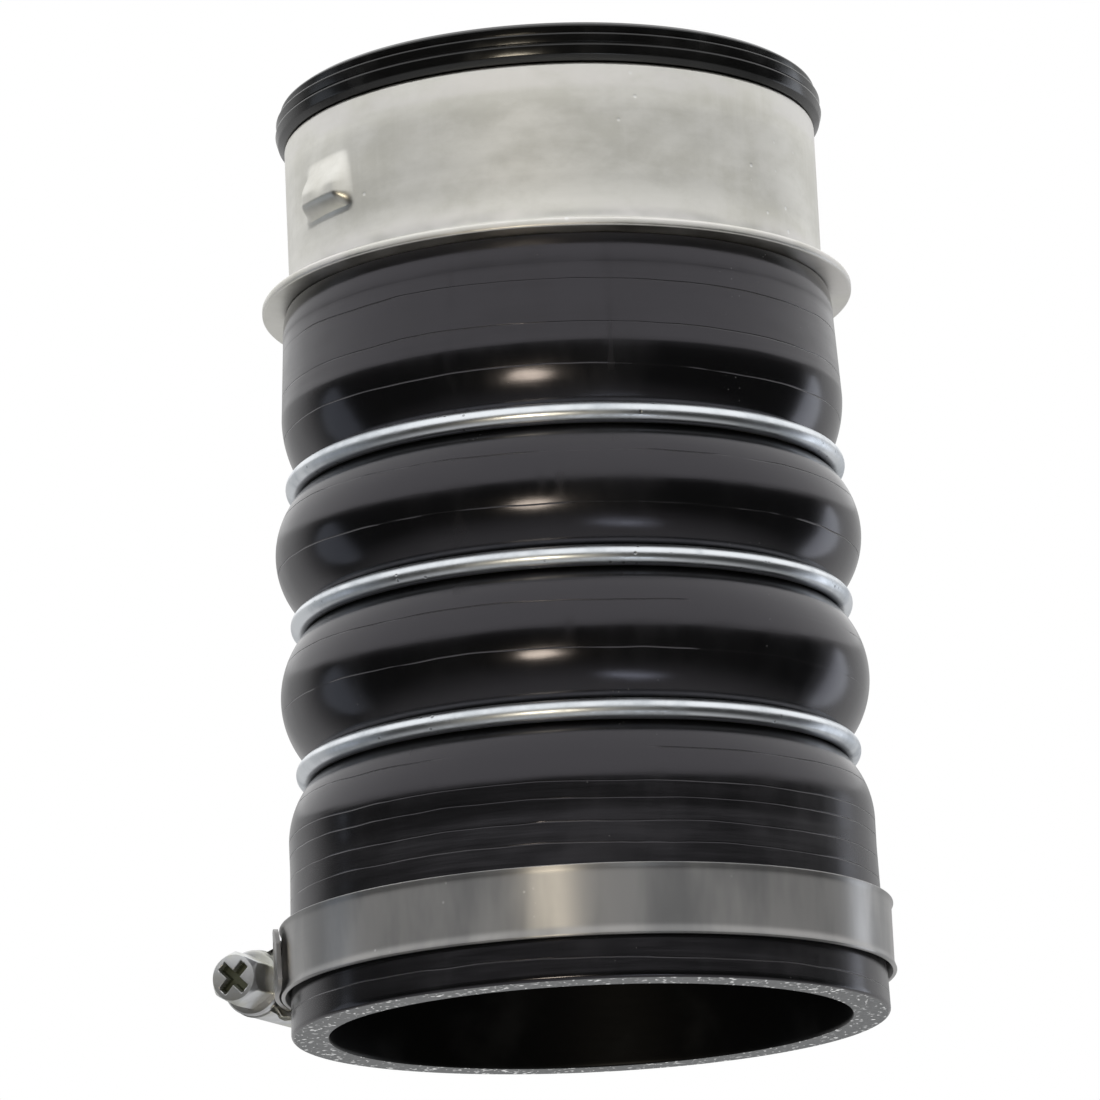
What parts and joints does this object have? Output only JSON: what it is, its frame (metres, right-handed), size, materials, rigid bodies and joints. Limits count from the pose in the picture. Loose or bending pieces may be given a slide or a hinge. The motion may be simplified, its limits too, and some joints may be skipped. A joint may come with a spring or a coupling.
{
  "type": "pipe coupling",
  "caption": "Flexible hose coupling for ducts: a convoluted rubber hose with wire rings, a clamped plain cuff and a metal collar with a profile seal.",
  "frame": {"origin": "centre of the hose's cut end, on the hose axis", "axes": "+Z along the hose axis from the cut end to the seal; -Y is the side seen from the front; +X is the front view's right"},
  "size_m": [0.0989, 0.0884, 0.1387],
  "materials": {
    "hose_cover": "glossy",
    "hose_plies": "matte",
    "hose_liner": "satin",
    "ring_wire": "bright zinc",
    "collar_metal": "satin, lightly worn",
    "sleeve_metal": "satin",
    "seal_rubber": "glossy",
    "band_steel": "satin",
    "zinc_steel": "bright zinc"
  },
  "bodies": {
    "cuff": {"cuff_liner": "hose_liner", "cuff_plies": "hose_plies", "cuff_cover": "hose_cover", "clamp_band": "band_steel", "clamp_saddle": "band_steel", "clamp_housing": "zinc_steel"},
    "worm_screw": {"worm_screw": "zinc_steel"},
    "clamp_tail": {"clamp_tail": "band_steel"},
    "lower_ring": {"lower_ring": "ring_wire", "neck_liner": "hose_liner", "neck_plies": "hose_plies", "neck_cover": "hose_cover"},
    "middle_ring": {"middle_ring": "ring_wire", "lower_bulge_liner": "hose_liner", "lower_bulge_plies": "hose_plies", "lower_bulge_cover": "hose_cover"},
    "collar": {"collar": "collar_metal", "inner_sleeve": "sleeve_metal", "profile_seal": "seal_rubber", "upper_ring": "ring_wire", "shoulder_liner": "hose_liner", "shoulder_plies": "hose_plies", "shoulder_cover": "hose_cover", "upper_bulge_liner": "hose_liner", "upper_bulge_plies": "hose_plies", "upper_bulge_cover": "hose_cover"}
  },
  "joints": [
    {"name": "neck_bend", "type": "hinge", "parent": "cuff", "child": "lower_ring", "pos_m": [0, 0, 0.0305], "axis": [1, 0, 0], "range_deg": [-4, 4], "stiffness_Nm_per_rad": 1, "deforming": ["neck_liner", "neck_plies", "neck_cover"]},
    {"name": "axial_stroke", "type": "slide", "parent": "lower_ring", "child": "middle_ring", "axis": [0, 0, 1], "range_m": [-0.006, 0.004], "stiffness_N_per_m": 3000, "deforming": ["lower_bulge_liner", "lower_bulge_plies", "lower_bulge_cover"]},
    {"name": "bulge_bend", "type": "hinge", "parent": "middle_ring", "child": "collar", "pos_m": [0, 0, 0.0706], "axis": [0, 1, 0], "range_deg": [-6, 6], "stiffness_Nm_per_rad": 8, "deforming": ["upper_bulge_liner", "upper_bulge_plies", "upper_bulge_cover"]},
    {"name": "screw_turn", "type": "hinge", "parent": "cuff", "child": "worm_screw", "pos_m": [-0.04482, 0.0209, 0.0109], "axis": [0.4226, 0.9063, 0], "range_deg": [-360, 720]},
    {"name": "tail_feed", "type": "hinge", "parent": "cuff", "child": "clamp_tail", "pos_m": [0, 0, 0], "axis": [0, 0, 1], "range_deg": [-3.3, 6.6]}
  ],
  "couplings": [
    {"joint": "tail_feed", "follows": "screw_turn", "ratio": 0.008876}
  ]
}
